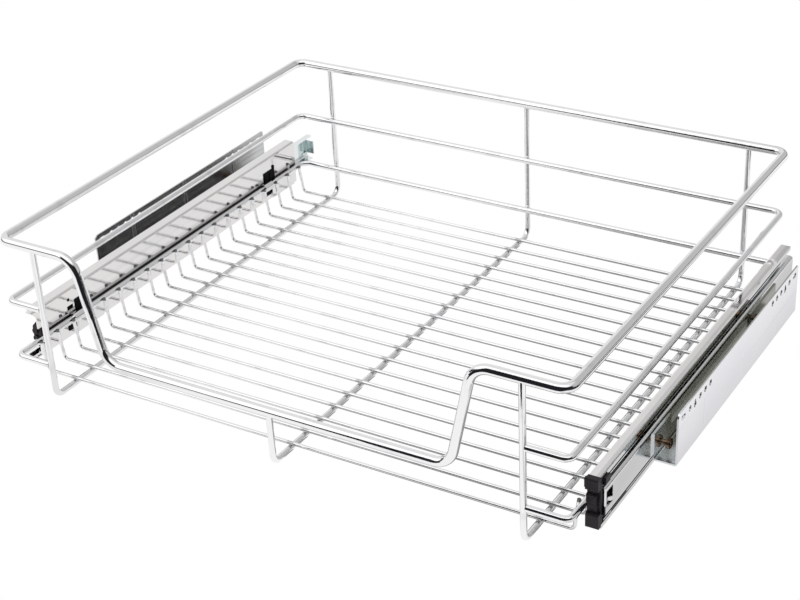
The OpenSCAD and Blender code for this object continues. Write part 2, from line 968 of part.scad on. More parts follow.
top_rim();
mid_rail();
low_rail();
left_runner();
centre_runner();
right_runner();
for (i = [1:floor_count])
    floor_wire(i);
left_front_plate();
left_rear_plate();
right_front_plate();
right_rear_plate();
left_front_clip();
left_rear_clip();
right_front_clip();
right_rear_clip();
left_drawer_member();
right_drawer_member();
left_intermediate_member();
right_intermediate_member();
left_cabinet_member();
right_cabinet_member();
left_outer_ball_cage();
right_outer_ball_cage();
left_inner_ball_cage();
right_inner_ball_cage();
left_outer_balls();
right_outer_balls();
left_inner_balls();
right_inner_balls();
left_end_cap();
right_end_cap();
left_intermediate_stop();
right_intermediate_stop();
left_bracket();
right_bracket();
left_bracket_screws();
right_bracket_screws();
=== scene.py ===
"""Pull-out cabinet basket: finishes, small details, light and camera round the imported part."""

import logging
import math
from dataclasses import dataclass, field
from enum import Enum

import bpy
from mathutils import Matrix, Vector

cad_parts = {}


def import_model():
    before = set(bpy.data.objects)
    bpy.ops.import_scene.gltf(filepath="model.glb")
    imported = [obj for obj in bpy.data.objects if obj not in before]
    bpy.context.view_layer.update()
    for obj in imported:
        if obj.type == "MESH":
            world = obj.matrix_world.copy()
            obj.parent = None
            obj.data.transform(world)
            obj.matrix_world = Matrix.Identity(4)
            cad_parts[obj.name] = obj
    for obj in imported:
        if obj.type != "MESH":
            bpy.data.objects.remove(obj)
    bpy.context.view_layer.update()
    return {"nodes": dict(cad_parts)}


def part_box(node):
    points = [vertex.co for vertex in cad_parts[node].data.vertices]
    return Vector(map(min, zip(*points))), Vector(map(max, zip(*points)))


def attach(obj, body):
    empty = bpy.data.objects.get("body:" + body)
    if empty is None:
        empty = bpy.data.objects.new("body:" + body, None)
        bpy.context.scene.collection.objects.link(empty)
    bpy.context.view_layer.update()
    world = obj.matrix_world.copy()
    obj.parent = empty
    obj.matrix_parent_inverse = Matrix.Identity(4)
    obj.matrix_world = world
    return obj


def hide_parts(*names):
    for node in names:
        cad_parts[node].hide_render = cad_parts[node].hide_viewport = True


LOG = logging.getLogger("basket")
MM = 0.001
FLOOR_WIRES = tuple(f"floor_wire_{number:02d}" for number in range(1, 21))
WHITE = (1, 1, 1, 1)

# Two numbers, such as where a change sets in and where it is full.
Span = tuple[float, float]
# Where a change sets in, is full, is still full, and ends.
Band = tuple[float, float, float, float]
Colour = tuple[float, float, float]
Point = tuple[float, float, float]
# A weld's place and its half sizes along X, Y and Z, in metres.
Bead = tuple[Point, Point]


# ---- shader building ----


class Sock:
    """A value socket that takes part in arithmetic; each step adds a Math node."""

    def __init__(self, graph: "Graph", socket: bpy.types.NodeSocket) -> None:
        """Wraps one output socket of a graph."""
        self.graph = graph
        self.socket = socket

    def _math(self, operation: str, *values: "Sock | float") -> "Sock":
        """Adds one Math node that works on these values."""
        return self.graph.node("ShaderNodeMath", {"operation": operation}, dict(enumerate(values)))

    def __add__(self, other: "Sock | float") -> "Sock":
        """Sum."""
        return self._math("ADD", self, other)

    def __radd__(self, other: float) -> "Sock":
        """Sum with a number first."""
        return self._math("ADD", other, self)

    def __sub__(self, other: "Sock | float") -> "Sock":
        """Difference."""
        return self._math("SUBTRACT", self, other)

    def __rsub__(self, other: float) -> "Sock":
        """Difference with a number first."""
        return self._math("SUBTRACT", other, self)

    def __mul__(self, other: "Sock | float") -> "Sock":
        """Product."""
        return self._math("MULTIPLY", self, other)

    def __rmul__(self, other: float) -> "Sock":
        """Product with a number first."""
        return self._math("MULTIPLY", other, self)

    def __abs__(self) -> "Sock":
        """Size without sign."""
        return self._math("ABSOLUTE", self)

    def least(self, other: "Sock | float") -> "Sock":
        """The smaller of two values."""
        return self._math("MINIMUM", self, other)

    def most(self, other: "Sock | float") -> "Sock":
        """The larger of two values."""
        return self._math("MAXIMUM", self, other)

    def wrap(self, span: float) -> "Sock":
        """Distance to the nearest multiple of a span.

        Args:
            span: the repeat, in the units of this value.

        Returns:
            A value from 0 to half the span.
        """
        return self._math("PINGPONG", self, span / 2)

    def step(self, low: float, high: float) -> "Sock":
        """Rises smoothly from 0 at low to 1 at high, or falls where low is the larger.

        Args:
            low: value that gives 0.
            high: value that gives 1.

        Returns:
            The eased value.
        """
        if low > high:
            return 1 - self.step(high, low)
        kind = {"interpolation_type": "SMOOTHSTEP"}
        feed = {0: self, 1: low, 2: high, 3: 0.0, 4: 1.0}
        return self.graph.node("ShaderNodeMapRange", kind, feed)

    def band(self, low: float, full: float, still_full: float, high: float) -> "Sock":
        """Rises from 0 to 1 between the first two values and falls back between the last."""
        return self.step(low, full) * self.step(high, still_full)


class Graph:
    """The node tree of one material or world."""

    def __init__(self, tree: bpy.types.NodeTree) -> None:
        """Starts from an emptied tree."""
        self.tree = tree
        tree.nodes.clear()

    def node(self, kind: str, settings: dict | None = None, inputs: dict | None = None,
             out: int | str = 0) -> Sock:
        """Adds a node, sets what it is, then feeds its sockets.

        Args:
            kind: the node's type name.
            settings: attributes to set first, such as an operation.
            inputs: socket name or number to a number, tuple or Sock.
            out: which output to hand back.

        Returns:
            The chosen output, or the node itself where it has none.
        """
        made = self.tree.nodes.new(kind)
        for name, value in (settings or {}).items():
            setattr(made, name, value)
        for name, value in (inputs or {}).items():
            target = made.inputs[name]
            if isinstance(value, Sock):
                self.tree.links.new(value.socket, target)
            else:
                target.default_value = value
        return Sock(self, made.outputs[out]) if made.outputs else made

    def place(self) -> Sock:
        """The point on the piece, in metres."""
        return self.node("ShaderNodeTexCoord", out="Object")

    def split(self, vector: Sock) -> tuple[Sock, Sock, Sock]:
        """Takes a vector apart.

        Args:
            vector: the vector.

        Returns:
            Its three parts.
        """
        parts = self.node("ShaderNodeSeparateXYZ", None, {0: vector})
        outs = parts.socket.node.outputs
        return Sock(self, outs[0]), Sock(self, outs[1]), Sock(self, outs[2])

    def noise(self, at: Sock, scale: float, detail: float = 3.0, rough: float = 0.5,
              stretch: tuple[float, float, float] = (1, 1, 1)) -> Sock:
        """Fractal noise from 0 to 1.

        Args:
            at: where it is read.
            scale: features per metre.
            detail: octaves.
            rough: weight of the finer octaves.
            stretch: scale along each axis.

        Returns:
            The noise value.
        """
        spot = self.node("ShaderNodeMapping", None, {"Vector": at, "Scale": stretch})
        feed = {"Vector": spot, "Scale": scale, "Detail": detail, "Roughness": rough}
        return self.node("ShaderNodeTexNoise", None, feed)

    def blend(self, how_much: Sock | float, first: tuple | Sock, second: tuple | Sock) -> Sock:
        """Mixes two colours.

        Args:
            how_much: 0 gives the first, 1 the second.
            first: a colour.
            second: a colour.

        Returns:
            The mixed colour.
        """
        made = self.tree.nodes.new("ShaderNodeMix")
        made.data_type = "RGBA"
        for index, value in ((0, how_much), (6, first), (7, second)):
            if isinstance(value, Sock):
                self.tree.links.new(value.socket, made.inputs[index])
            elif index:
                made.inputs[index].default_value = (*value, 1.0)
            else:
                made.inputs[index].default_value = value
        return Sock(self, made.outputs[2])

    def bump(self, height: Sock, strength: float, distance: float) -> Sock:
        """Turns a height into a normal.

        Args:
            height: 0 to 1.
            strength: share of the effect.
            distance: what a height of 1 stands for, in metres.

        Returns:
            The normal.
        """
        return self.node("ShaderNodeBump", None,
                         {"Strength": strength, "Distance": distance, "Height": height})

    def ray(self, reading: str) -> Sock:
        """One reading of the light path, such as Is Camera Ray."""
        return self.node("ShaderNodeLightPath", out=reading)

    def glow(self, colour: Sock | tuple) -> Sock:
        """A shader that shows a colour as it is written."""
        return self.node("ShaderNodeEmission", None, {"Color": colour, "Strength": 1.0})

    def choose(self, how_much: Sock, first: Sock, second: Sock) -> Sock:
        """Mixes two shaders: the first at 0, the second at 1."""
        return self.node("ShaderNodeMixShader", None, {0: how_much, 1: first, 2: second})

    def end(self, shader: Sock) -> None:
        """Ends the material in a shader."""
        self.node("ShaderNodeOutputMaterial", None, {"Surface": shader})


def new_material(name: str) -> tuple[bpy.types.Material, Graph]:
    """Makes an empty node material.

    Args:
        name: its name.

    Returns:
        The material and its graph.
    """
    made = bpy.data.materials.new(name)
    made.use_nodes = True
    return made, Graph(made.node_tree)


def surface(graph: Graph, **sockets: Sock | float | tuple) -> None:
    """Ends a material in one Principled shader.

    Args:
        graph: the material's graph.
        sockets: input name, with _ for a space, to its value or link.
    """
    feed = {name.replace("_", " "): value for name, value in sockets.items()}
    graph.end(graph.node("ShaderNodeBsdfPrincipled", None, feed))


# ---- finishes ----


@dataclass(frozen=True)
class Chrome:
    """Bright chrome plating: mirror-like, with soft waves and duller weld spots.

    Attributes:
        name: the material's name.
        tint: colour of the clean plating.
        weld_x: distances from the middle at which crossings are welded, in metres.
        end_x: distance from the middle beyond which the welded wire ends get painted shade.
        rough: roughness of the clean plating.
        weld_reach: half length of a weld's dull spot, and of the part that is fully dull.
        end_shade_z: heights at which the painted shade on the wire ends sets in and is full.
        dull_tint: colour of a dull spot.
        end_shade_tint: colour of the painted shade on a wire end.
        wave: height of the waves in the plating.
    """

    name: str
    tint: Colour = (0.90, 0.90, 0.91)
    weld_x: tuple[float, ...] = ()
    end_x: float = 1.0
    rough: float = 0.05
    weld_reach: Span = (5 * MM, 1.5 * MM)
    end_shade_z: Span = (31.8 * MM, 32.8 * MM)
    dull_tint: Colour = (0.42, 0.42, 0.43)
    end_shade_tint: Colour = (0.04, 0.04, 0.04)
    wave: float = 0.4 * MM

    def build(self) -> bpy.types.Material:
        """Makes the material.

        Returns:
            The finished material.
        """
        made, g = new_material(self.name)
        at = g.place()
        cloud = g.noise(at, scale=55, detail=2)
        fine = g.noise(at, scale=900, detail=2)
        dull = cloud.step(0.55, 0.75) * 0.3
        x, _, z = g.split(at)
        for spot in self.weld_x:
            dull = dull.most(abs(abs(x) - spot).step(*self.weld_reach))
        # Painted shade on the wire ends welded beside the low rail, as in its shade.
        end_shade = abs(x).step(self.end_x, self.end_x + 1 * MM) * z.step(*self.end_shade_z)
        colour = g.blend(dull * 0.7, self.tint, self.dull_tint)
        colour = g.blend(end_shade * 0.85, colour, self.end_shade_tint)
        rough = self.rough + dull * 0.16 + fine * 0.03
        waves = g.noise(at, scale=140, detail=2) + fine * 0.15
        surface(g, Base_Color=colour, Metallic=1.0, Roughness=rough,
                Normal=g.bump(waves, 0.12, self.wave))
        return made


@dataclass
class SheetLook:
    """A sheet's finish while its marks are laid on.

    Attributes:
        graph: the material's graph.
        x: place to the right of the middle, in metres.
        y: place along the slide, from front to back.
        z: height.
        streaks: the rolling streaks, 0 to 1.
        colour: colour so far.
        metal: metallic share so far.
    """

    graph: Graph
    x: Sock
    y: Sock
    z: Sock
    streaks: Sock
    colour: Sock
    metal: Sock | float = 1.0

    def paint(self, how_much: Sock, tint: Colour | Sock) -> None:
        """Lays a colour over the sheet, all of it where how_much is 1."""
        self.colour = self.graph.blend(how_much, self.colour, tint)


class Mark:
    """A mark laid on a sheet, mostly painted shade, highlights and reflections."""

    def add(self, look: SheetLook) -> None:
        """Lays the mark on a sheet."""
        raise NotImplementedError


@dataclass(frozen=True)
class PaintedShadeInside(Mark):
    """Painted shade inside a bracket, grey on the left and dark olive on the right one.

    Attributes:
        inner_x: distance from the middle within which the sheet is oiled.
        pale_front_y: places between which the right piece's pale front end sets in.
        left_tints: the left painted shade's darker and lighter streaks.
        right_tints: the same for the right painted shade.
        pale_front_tint: colour of the front end's painted pale bluish reflection.
    """

    inner_x: float
    pale_front_y: Span = (-88 * MM, -102 * MM)
    left_tints: tuple[Colour, Colour] = ((0.50, 0.50, 0.50), (0.74, 0.74, 0.73))
    right_tints: tuple[Colour, Colour] = ((0.33, 0.33, 0.30), (0.52, 0.52, 0.48))
    pale_front_tint: Colour = (0.88, 0.93, 0.95)

    def add(self, look: SheetLook) -> None:
        """Lays the painted shade and the front end's painted reflection on a sheet.

        Args:
            look: the sheet's finish.
        """
        g = look.graph
        # Painted shade inside the bracket, and a painted reflection at the right piece's front end.
        inside = abs(look.x).step(self.inner_x + 0.2 * MM, self.inner_x)
        right = look.x.step(-1 * MM, 1 * MM)
        run = look.streaks.step(0.3, 0.7)
        inside_shade = g.blend(right, g.blend(run, *self.left_tints), g.blend(run, *self.right_tints))
        look.paint(inside, g.blend(right * look.y.step(*self.pale_front_y), inside_shade, self.pale_front_tint))


@dataclass(frozen=True)
class BluishTailShadedTab(Mark):
    """Bluish rear end of a cabinet member, with painted shade on its bent tab.

    Attributes:
        tab_y: place at which the tab begins.
        bluish_ahead: how far ahead of it the bluish sheet sets in and is full.
        tab_z: height of the tab's middle.
        tab_half: half the tab's height, with its soft edge and without.
        edge_highlight: distance from tab_y of the painted highlight on the tab's bent edge.
        edge_highlight_half: half that highlight's width, without its soft edge and with it.
        bluish_tint: colour of the bluish sheet.
        tab_shade_tint: colour of the painted shade on the tab.
    """

    tab_y: float
    bluish_ahead: Span = (24 * MM, 20 * MM)
    tab_z: float = 36.1 * MM
    tab_half: Span = (10 * MM, 9 * MM)
    edge_highlight: float = 10 * MM
    edge_highlight_half: Span = (0.7 * MM, 1.1 * MM)
    bluish_tint: Colour = (0.91, 0.94, 0.95)
    tab_shade_tint: Colour = (0.62, 0.72, 0.72)

    def add(self, look: SheetLook) -> None:
        """Lays the bluish colour, the tab's painted shade and its painted highlight on a sheet.

        Args:
            look: the sheet's finish.
        """
        start, full = self.bluish_ahead
        look.paint(look.y.step(self.tab_y - start, self.tab_y - full), self.bluish_tint)
        # Painted shade on the bent tab, left out along the painted highlight on its bent edge.
        tab = look.y.step(self.tab_y, self.tab_y + 1 * MM)
        tab = tab * abs(look.z - self.tab_z).step(*self.tab_half)
        tab = tab * abs(look.y - self.tab_y - self.edge_highlight).step(*self.edge_highlight_half)
        look.paint(tab, self.tab_shade_tint)


@dataclass(frozen=True)
class RailShadeStripe(Mark):
    """Painted shade on a drawer member's web above the low rail, fading upwards.

    Attributes:
        foot: height of the stripe's foot.
        stripe: the stripe's heights above its foot.
        shade_fade: the soft upper fade's heights above it.
        web_x: distances from the middle at which both end and are still full.
        tint: colour of the painted shade.
    """

    foot: float
    stripe: Band = (-1 * MM, 0.0, 3.6 * MM, 5 * MM)
    shade_fade: Band = (0.0, 2 * MM, 3 * MM, 12 * MM)
    web_x: Span = (258.6 * MM, 258.2 * MM)
    tint: Colour = (0.06, 0.055, 0.05)

    def add(self, look: SheetLook) -> None:
        """Lays the painted shade on a sheet.

        Args:
            look: the sheet's finish.
        """
        # Painted shade: the low rail's contact shadow and dark reflection on the web.
        above = look.z - self.foot
        rail_shade = above.band(*self.stripe).most(above.band(*self.shade_fade) * 0.4)
        look.paint(rail_shade * abs(look.x).step(*self.web_x) * 0.9, self.tint)


@dataclass(frozen=True)
class ShadedOuterLip(Mark):
    """Painted shade on the top of the right drawer member's outer edge.

    Attributes:
        low_z: heights at which the painted shade sets in and is full.
        outer_x: places at which it sets in and is full.
        tint: colour of the painted shade.
    """

    low_z: Span = (58.0 * MM, 58.4 * MM)
    outer_x: Span = (263.2 * MM, 264.4 * MM)
    tint: Colour = (0.50, 0.50, 0.50)

    def add(self, look: SheetLook) -> None:
        """Lays the painted shade on a sheet."""
        # Painted shade on the right flange's outer half, which mirrors darker.
        look.paint(look.z.step(*self.low_z) * look.x.step(*self.outer_x) * 0.45, self.tint)


@dataclass(frozen=True)
class CreaseShadeLines(Mark):
    """Painted shade: a pair of grey lines at each crease of the left bracket, for its edges'
    shading.

    Attributes:
        creases: places of the creases along the bracket.
        ridge: distance of each ridge from its crease.
        half: half a ridge's width, with its soft edge and without.
        tint: colour of the painted shade lines.
    """

    creases: tuple[float, ...]
    ridge: float = 2.1 * MM
    half: Span = (0.9 * MM, 0.5 * MM)
    tint: Colour = (0.46, 0.46, 0.46)

    def add(self, look: SheetLook) -> None:
        """Lays the painted shade lines on a sheet, less metallic than the rest.

        Args:
            look: the sheet's finish.
        """
        gap = abs(look.y - self.creases[0])
        for spot in self.creases[1:]:
            gap = gap.least(abs(look.y - spot))
        # Painted shade lines beside each crease, on the left bracket only.
        scuff_and_crease_shade = abs(gap - self.ridge).step(*self.half) * look.x.step(0.0, -1 * MM)
        look.metal = 1 - scuff_and_crease_shade * 0.8
        look.paint(scuff_and_crease_shade, self.tint)


@dataclass(frozen=True)
class NearBlackPatch(Mark):
    """Near-black patch on the outer face of an intermediate member's web.

    Attributes:
        along: its places along the slide.
        heights: its heights.
        outer_x: distances from the middle at which it sets in and is full.
        tint: colour of the patch.
    """

    along: Band = (-186 * MM, -184 * MM, -160 * MM, -156 * MM)
    heights: Band = (14 * MM, 17 * MM, 32 * MM, 37 * MM)
    outer_x: Span = (261.0 * MM, 261.3 * MM)
    tint: Colour = (0.01, 0.01, 0.01)

    def add(self, look: SheetLook) -> None:
        """Lays the patch on a sheet.

        Args:
            look: the sheet's finish.
        """
        patch = look.y.band(*self.along) * look.z.band(*self.heights)
        look.paint(patch * abs(look.x).step(*self.outer_x) * 0.96, self.tint)


@dataclass(frozen=True)
class Zinc:
    """Zinc-plated rolled sheet: streaked along its length, with cloudy passivation.

    Attributes:
        name: the material's name.
        tint: main colour.
        cloud: second colour that the passivation drifts towards.
        rough: mean roughness.
        streak: depth of the rolling streaks in roughness.
        grain: height of the fine grain.
        marks: marks laid on it, mostly painted shade, highlights and reflections.
    """

    name: str
    tint: Colour
    cloud: Colour
    rough: float = 0.22
    streak: float = 0.12
    grain: float = 0.3
    marks: tuple[Mark, ...] = ()

    def build(self) -> bpy.types.Material:
        """Makes the material.

        Returns:
            The finished material.
        """
        made, g = new_material(self.name)
        at = g.place()
        streaks = g.noise(at, scale=260, rough=0.6, stretch=(1, 0.02, 1))
        drift = g.noise(at, scale=22, stretch=(1, 0.35, 1))
        grain = g.noise(at, scale=1500, detail=2)
        colour = g.blend(drift.step(0.35, 0.65), self.tint, self.cloud)
        darker = tuple(part * 0.7 for part in self.tint)
        colour = g.blend(streaks.step(0.5, 0.8) * 0.25, colour, darker)
        look = SheetLook(g, *g.split(at), streaks, colour)
        for mark in self.marks:
            mark.add(look)
        rough = self.rough + (streaks - 0.5) * self.streak + (drift - 0.5) * 0.08 + grain * 0.02
        height = streaks * 0.7 + grain * self.grain
        surface(g, Base_Color=look.colour, Metallic=look.metal, Roughness=rough,
                Normal=g.bump(height, 0.10, 0.15 * MM))
        return made


@dataclass(frozen=True)
class Moulded:
    """Black moulded plastic: fine spark texture, paler scuffs.

    Attributes:
        name: the material's name.
        tint: main colour.
        rough: mean roughness.
        shine: strength of the plain surface reflection.
        scuffs: share of the paler scuffs.
        scuff_tint: their colour.
    """

    name: str
    tint: Colour
    rough: float
    shine: float
    scuffs: float = 0.35
    scuff_tint: Colour = (0.05, 0.05, 0.055)

    def build(self) -> bpy.types.Material:
        """Makes the material.

        Returns:
            The finished material.
        """
        made, g = new_material(self.name)
        at = g.place()
        spark = g.noise(at, scale=2600, rough=0.6)
        scuff_and_crease_shade = g.noise(at, scale=240, rough=0.7, stretch=(1, 0.4, 1)).step(0.58, 0.8)
        colour = g.blend(scuff_and_crease_shade * self.scuffs, self.tint, self.scuff_tint)
        rough = self.rough + scuff_and_crease_shade * 0.2 + spark * 0.06
        surface(g, Base_Color=colour, Metallic=0.0, Roughness=rough,
                Specular_IOR_Level=self.shine, Normal=g.bump(spark, 0.25, 0.1 * MM))
        return made


@dataclass(frozen=True)
class Passivated:
    """Yellow-passivated screw: brassy with drifting brown and olive tones.

    Attributes:
        name: the material's name.
        brown: colour of the darkest patches.
        brass: colour of the brightest patches.
        olive: colour of the scattered stains.
    """

    name: str
    brown: Colour = (0.075, 0.045, 0.03)
    brass: Colour = (0.26, 0.18, 0.12)
    olive: Colour = (0.09, 0.07, 0.055)

    def build(self) -> bpy.types.Material:
        """Makes the material.

        Returns:
            The finished material.
        """
        made, g = new_material(self.name)
        at = g.place()
        drift = g.noise(at, scale=330, detail=2)
        fine = g.noise(at, scale=2200)
        colour = g.blend(drift.step(0.35, 0.6), self.brown, self.brass)
        colour = g.blend(drift.step(0.62, 0.8), colour, self.olive)
        surface(g, Base_Color=colour, Metallic=1.0, Roughness=0.24 + fine * 0.12,
                Normal=g.bump(fine, 0.2, 0.06 * MM))
        return made


class Finish(Enum):
    """The finishes of the real pieces, by what wears them."""

    WIRE = Chrome("bright_chrome_wire")
    FLOOR = Chrome("bright_chrome_floor_wire", weld_x=(0.0, 218.4 * MM), end_x=247.5 * MM)
    PLATE = Chrome("bright_plated_plate", tint=(0.86, 0.85, 0.85), rough=0.10)
    DRAWER = Zinc("zinc_drawer_member", (0.89, 0.87, 0.86), (0.86, 0.85, 0.85),
                  0.06, 0.03, 0.05, (RailShadeStripe(31.5 * MM), ShadedOuterLip()))
    MIDDLE = Zinc("zinc_intermediate_member", (0.76, 0.80, 0.82), (0.80, 0.81, 0.81),
                  0.12, 0.05, 0.05, (NearBlackPatch(),))
    CABINET = Zinc("zinc_cabinet_member", (0.82, 0.815, 0.82), (0.76, 0.76, 0.77),
                   0.13, 0.06, 0.08, (BluishTailShadedTab(212.5 * MM),))
    CAGE = Zinc("rolled_cage_strip", (0.60, 0.60, 0.60), (0.52, 0.52, 0.53), 0.28)
    BALL = Chrome("polished_ball", tint=(0.78, 0.78, 0.80))
    CAP = Moulded("black_moulded_cap", (0.020, 0.015, 0.019), rough=0.46, shine=0.3)
    CLIP = Moulded("black_moulded_clip", (0.002, 0.002, 0.003), rough=0.42, shine=0.06,
                   scuffs=0.06)
    BRACKET = Zinc("satin_zinc_bracket", (0.92, 0.905, 0.94), (0.89, 0.88, 0.92),
                   0.24, 0.04, 0.04,
                   (PaintedShadeInside(290.2 * MM), CreaseShadeLines((-27 * MM, 51.5 * MM, 128 * MM))))
    SCREW = Passivated("yellow_passivated_screw")


# What wears each finish, on the left side and on the right.
WORN_BY = {
    Finish.PLATE: ("front_plate", "rear_plate"),
    Finish.CLIP: ("front_clip", "rear_clip"),
    Finish.DRAWER: ("drawer_member",),
    Finish.MIDDLE: ("intermediate_member",),
    Finish.CABINET: ("cabinet_member",),
    Finish.CAGE: ("outer_ball_cage", "inner_ball_cage"),
    Finish.BALL: ("outer_balls", "inner_balls"),
    Finish.CAP: ("end_cap", "intermediate_stop"),
    Finish.BRACKET: ("bracket",),
    Finish.SCREW: ("bracket_screws",),
}


@dataclass
class FinishBook:
    """Makes each finish once and puts it on the nodes that wear it.

    Attributes:
        nodes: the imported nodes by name.
        made: materials made so far.
    """

    nodes: dict
    made: dict = field(default_factory=dict)

    def get(self, finish: Finish) -> bpy.types.Material:
        """The finish's material, made at its first use.

        Args:
            finish: which one.

        Returns:
            Its material.
        """
        if finish not in self.made:
            self.made[finish] = finish.value.build()
        return self.made[finish]

    def dress(self) -> None:
        """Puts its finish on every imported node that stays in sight."""
        for side in ("left", "right"):
            for finish, names in WORN_BY.items():
                for name in names:
                    data = self.nodes[f"{side}_{name}"].data
                    data.materials.clear()
                    data.materials.append(self.get(finish))
                    LOG.info("%s_%s: %s", side, name, self.get(finish).name)


# ---- smooth wires ----


@dataclass(frozen=True)
class BentWire:
    """A wire along corner points, with the bend radius at each of them.

    Attributes:
        points: corners in metres.
        bends: bend radius at each corner, 0 at a free end.
        wire: diameter in metres.
        closed: whether the last corner joins the first.
    """

    points: tuple[Point, ...]
    bends: tuple[float, ...]
    wire: float
    closed: bool = False


class NodeTree:
    """A Geometry Nodes tree that is built step by step."""

    def __init__(self, name: str) -> None:
        """Starts a tree with a geometry input and output.

        Args:
            name: the tree's name.
        """
        self.tree = bpy.data.node_groups.new(name, "GeometryNodeTree")
        for way in ("INPUT", "OUTPUT"):
            self.tree.interface.new_socket("Geometry", in_out=way,
                                           socket_type="NodeSocketGeometry")
        self.start = self.tree.nodes.new("NodeGroupInput")
        self.end = self.tree.nodes.new("NodeGroupOutput")

    def size(self, name: str, kind: str = "NodeSocketFloat") -> None:
        """Adds a named input."""
        self.tree.interface.new_socket(name, in_out="INPUT", socket_type=kind)

    def add(self, kind: str, settings: dict | None = None,
            inputs: dict | None = None) -> bpy.types.Node:
        """Adds a node.

        Args:
            kind: the node's type name.
            settings: attributes to set first.
            inputs: socket name or number to a value or an output socket.

        Returns:
            The node.
        """
        made = self.tree.nodes.new(kind)
        for name, value in (settings or {}).items():
            setattr(made, name, value)
        for name, value in (inputs or {}).items():
            if isinstance(value, bpy.types.NodeSocket):
                self.tree.links.new(value, made.inputs[name])
            else:
                made.inputs[name].default_value = value
        return made

    def finish(self, geometry: bpy.types.NodeSocket) -> bpy.types.NodeTree:
        """Realizes the result, gives it its finish and ends the tree.

        Args:
            geometry: what the tree has made.

        Returns:
            The finished tree.
        """
        real = self.add("GeometryNodeRealizeInstances", None, {0: geometry})
        done = self.add("GeometryNodeSetMaterial", None,
                        {"Geometry": real.outputs[0], "Material": self.start.outputs["Finish"]})
        self.tree.links.new(done.outputs[0], self.end.inputs[0])
        return self.tree


